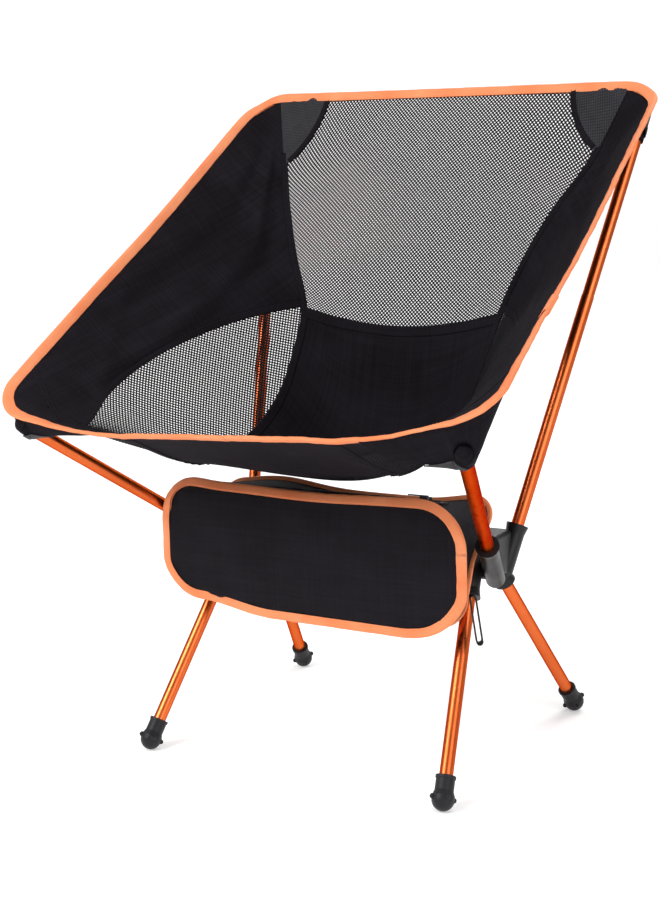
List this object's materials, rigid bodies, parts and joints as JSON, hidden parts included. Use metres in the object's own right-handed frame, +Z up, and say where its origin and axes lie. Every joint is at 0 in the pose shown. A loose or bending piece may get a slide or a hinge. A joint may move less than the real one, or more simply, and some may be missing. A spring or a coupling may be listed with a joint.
{
  "type": "backpacking chair",
  "caption": "Ultralight folding camp chair: shock-corded tube frame with two moulded hubs, rubber feet, a sewn bucket seat with mesh back and bound edge, and a zipped carry bag.",
  "frame": {"origin": "On the ground, under the middle of the chair's outline in plan", "axes": "X across the chair, -Y the way the sitter faces, +Z up; the sitter's left is +X"},
  "size_m": [0.5312, 0.4803, 0.6804],
  "materials": {
    "anodised_tube": "anodised orange, satin gloss",
    "ferrule_metal": "plain drawn",
    "hub_plastic": "moulded, satin",
    "foot_rubber": "moulded, satin",
    "shock_cord": "braided sheath",
    "rivet_steel": "plain",
    "seat_cloth": "plain-weave polyester, slight sheen",
    "mesh_cloth": "knitted mesh with open round holes",
    "patch_cloth": "coarse ballistic weave",
    "edge_tape": "ribbed orange binding tape",
    "bag_cloth": "plain-weave polyester",
    "webbing": "woven webbing",
    "zip_plastic": "nylon coil on woven tape",
    "zip_metal": "black lacquer"
  },
  "bodies": {
    "frame": {"crossbar": "anodised_tube", "front_pole_left": "anodised_tube", "front_pole_right": "anodised_tube", "rear_pole_lower_left": "anodised_tube", "rear_pole_lower_right": "anodised_tube", "rear_pole_upper_left": "anodised_tube", "rear_pole_upper_right": "anodised_tube", "pole_ferrule_left": "ferrule_metal", "pole_ferrule_right": "ferrule_metal", "hub_left": "hub_plastic", "hub_right": "hub_plastic", "front_pole_tip_left": "hub_plastic", "front_pole_tip_right": "hub_plastic", "rear_pole_tip_left": "hub_plastic", "rear_pole_tip_right": "hub_plastic", "front_pole_cord_left": "shock_cord", "front_pole_cord_right": "shock_cord", "rear_pole_cord_left": "shock_cord", "rear_pole_cord_right": "shock_cord", "hub_rivets": "rivet_steel", "seat_panel": "seat_cloth", "side_panel_left": "seat_cloth", "side_panel_right": "seat_cloth", "back_mesh": "mesh_cloth", "side_mesh_left": "mesh_cloth", "side_mesh_right": "mesh_cloth", "corner_patch_left": "patch_cloth", "corner_patch_right": "patch_cloth", "front_pocket_left": "patch_cloth", "front_pocket_right": "patch_cloth", "rear_pocket_left": "patch_cloth", "rear_pocket_right": "patch_cloth", "edge_binding": "edge_tape", "bag_front_binding": "edge_tape", "bag_rear_binding": "edge_tape", "bag_front_panel": "bag_cloth", "bag_rear_panel": "bag_cloth", "bag_wall": "bag_cloth", "bag_strap_left": "webbing", "bag_strap_right": "webbing", "bag_zip": "zip_plastic"},
    "leg_front_left": {"leg_front_left": "anodised_tube", "leg_front_cord_left": "shock_cord", "foot_front_left": "foot_rubber"},
    "leg_front_right": {"leg_front_right": "anodised_tube", "leg_front_cord_right": "shock_cord", "foot_front_right": "foot_rubber"},
    "leg_rear_left": {"leg_rear_left": "anodised_tube", "leg_rear_cord_left": "shock_cord", "foot_rear_left": "foot_rubber"},
    "leg_rear_right": {"leg_rear_right": "anodised_tube", "leg_rear_cord_right": "shock_cord", "foot_rear_right": "foot_rubber"},
    "zip_slider": {"zip_slider": "zip_metal", "zip_pull": "zip_metal"},
    "bag_tab": {"bag_tab": "webbing"}
  },
  "joints": [
    {"name": "leg_front_left_pull", "type": "slide", "parent": "frame", "child": "leg_front_left", "axis": [0.1235, -0.5568, -0.8214], "range_m": [0, 0.034], "stiffness_N_per_m": 80, "springref_m": -0.03},
    {"name": "leg_front_right_pull", "type": "slide", "parent": "frame", "child": "leg_front_right", "axis": [-0.1235, -0.5568, -0.8214], "range_m": [0, 0.034], "stiffness_N_per_m": 80, "springref_m": -0.03},
    {"name": "leg_rear_left_pull", "type": "slide", "parent": "frame", "child": "leg_rear_left", "axis": [0.1609, 0.5748, -0.8023], "range_m": [0, 0.034], "stiffness_N_per_m": 80, "springref_m": -0.03},
    {"name": "leg_rear_right_pull", "type": "slide", "parent": "frame", "child": "leg_rear_right", "axis": [-0.1609, 0.5748, -0.8023], "range_m": [0, 0.034], "stiffness_N_per_m": 80, "springref_m": -0.03},
    {"name": "zip_slide", "type": "slide", "parent": "frame", "child": "zip_slider", "axis": [1, 0, 0], "range_m": [-0.215, 0]},
    {"name": "tab_swing", "type": "hinge", "parent": "frame", "child": "bag_tab", "pos_m": [0.1665, -0.066, 0.187], "axis": [-0.515, 0.8572, 0], "range_deg": [-50, 0]}
  ]
}
